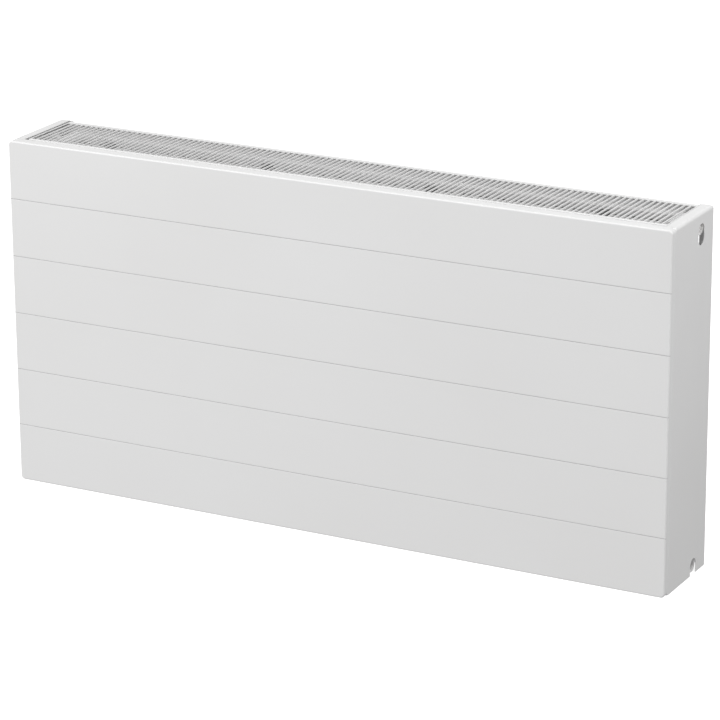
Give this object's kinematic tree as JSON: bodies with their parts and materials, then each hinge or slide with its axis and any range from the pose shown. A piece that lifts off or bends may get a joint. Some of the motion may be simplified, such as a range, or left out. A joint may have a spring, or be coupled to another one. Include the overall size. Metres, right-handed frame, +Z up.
{
  "type": "panel radiator",
  "caption": "Steel panel radiator: grooved flat front plate, slotted top grille, plain side covers, water panels with convector fins, threaded side taps and an air vent.",
  "frame": {"origin": "middle of the underside, halfway between the front face and the wall side", "axes": "+X along the length to the right seen from the room, +Y from the room towards the wall, +Z up"},
  "size_m": [1.2, 0.166, 0.6],
  "materials": {
    "front_enamel": "smooth satin white baked enamel",
    "casing_enamel": "smooth satin white baked enamel",
    "panel_enamel": "satin white baked enamel over pressed steel",
    "fin_enamel": "thin satin white enamel on folded sheet",
    "bonding_pad": "matt adhesive foam",
    "spring_steel": "plain spring steel",
    "seal_rubber": "matt black rubber",
    "nickel_plate": "nickel-plated brass",
    "nozzle_plastic": "white moulded plastic",
    "brass": "turned brass"
  },
  "bodies": {
    "radiator_core": {"front_plate": "front_enamel", "front_plate_pads": "bonding_pad", "front_panel_front_shell": "panel_enamel", "front_panel_rear_shell": "panel_enamel", "middle_panel_front_shell": "panel_enamel", "middle_panel_rear_shell": "panel_enamel", "rear_panel_front_shell": "panel_enamel", "rear_panel_rear_shell": "panel_enamel", "front_convector": "fin_enamel", "middle_convector": "fin_enamel", "rear_convector": "fin_enamel", "spacer_tube_lower_left": "panel_enamel", "connection_tee_lower_left": "panel_enamel", "hanging_lug_lower_left": "panel_enamel", "spacer_tube_lower_right": "panel_enamel", "connection_tee_lower_right": "panel_enamel", "hanging_lug_lower_right": "panel_enamel", "spacer_tube_upper_left": "panel_enamel", "connection_tee_upper_left": "panel_enamel", "hanging_lug_upper_left": "panel_enamel", "spacer_tube_upper_right": "panel_enamel", "connection_tee_upper_right": "panel_enamel", "hanging_lug_upper_right": "panel_enamel", "vent_seal": "seal_rubber", "vent_body": "nickel_plate", "blank_plug_seal": "panel_enamel", "blank_plug": "panel_enamel"},
    "grille": {"top_grille": "casing_enamel", "grille_clips": "spring_steel"},
    "cover_right": {"side_cover_right": "casing_enamel", "cover_clips_right": "spring_steel"},
    "cover_left": {"side_cover_left": "casing_enamel", "cover_clips_left": "spring_steel"},
    "nozzle": {"vent_nozzle": "nozzle_plastic"},
    "bleed_screw": {"bleed_screw": "brass"}
  },
  "joints": [
    {"name": "grille_lift", "type": "slide", "parent": "radiator_core", "child": "grille", "axis": [0, 0, 1], "range_m": [0, 0.1]},
    {"name": "cover_right_pull", "type": "slide", "parent": "radiator_core", "child": "cover_right", "axis": [1, 0, 0], "range_m": [0, 0.06]},
    {"name": "cover_left_pull", "type": "slide", "parent": "radiator_core", "child": "cover_left", "axis": [-1, 0, 0], "range_m": [0, 0.06]},
    {"name": "vent_nozzle_turn", "type": "hinge", "parent": "radiator_core", "child": "nozzle", "pos_m": [0.593, 0.03263, 0.576], "axis": [1, 0, 0], "continuous": true},
    {"name": "bleed_screw_turn", "type": "hinge", "parent": "radiator_core", "child": "bleed_screw", "pos_m": [0.588, 0.03263, 0.576], "axis": [1, 0, 0], "range_deg": [0, 360]}
  ]
}
